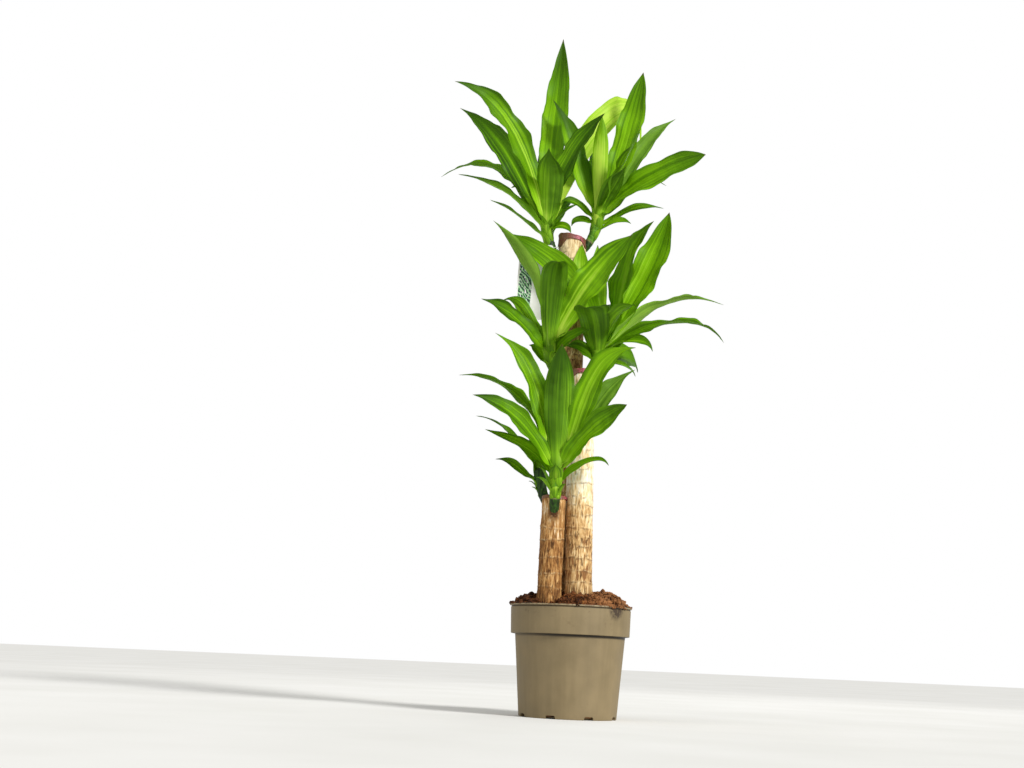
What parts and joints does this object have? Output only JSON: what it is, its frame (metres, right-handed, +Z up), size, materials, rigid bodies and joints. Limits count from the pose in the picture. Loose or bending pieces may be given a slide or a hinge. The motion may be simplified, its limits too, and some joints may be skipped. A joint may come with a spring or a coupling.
{
  "type": "potted corn plant",
  "caption": "Tall indoor plant with bare upright canes of staggered heights, leafy shoots with broad arching blades at their tops, in a tapered nursery pot.",
  "frame": {"origin": "centre of the pot's flat underside", "axes": "+Z up along the pot's axis and the canes, -Y towards the viewer of the picture, +X to the plant's right side"},
  "size_m": [0.4873, 0.3155, 1.164],
  "materials": {
    "pot": "taupe injection-moulded plastic, matt, with soil dust on the upper band",
    "soil": "loose reddish-brown coir and peat, rough and crumbly",
    "cane": "pale tan corky bark with thin ring scars and brown fissures",
    "wax": "burgundy sealing wax, satin, run down unevenly",
    "foliage": "glossy green leaf with lighter lengthwise stripes and fine veins",
    "tag": "coated card, satin, with a plain printed pattern of green leaf streaks",
    "tie": "thin white elastic, matt"
  },
  "bodies": {
    "root": {"pot": "pot", "soil": "soil", "cane_tall": "cane", "wax_tall": "wax", "cane_medium": "cane", "wax_medium": "wax", "cane_short": "cane", "wax_short": "wax", "shoot_top_left": "foliage", "shoot_top_right": "foliage", "shoot_middle_left": "foliage", "shoot_middle_right": "foliage", "shoot_short_front": "foliage", "shoot_short_back": "foliage", "care_tag": "tag", "tag_tie": "tie"}
  },
  "joints": []
}
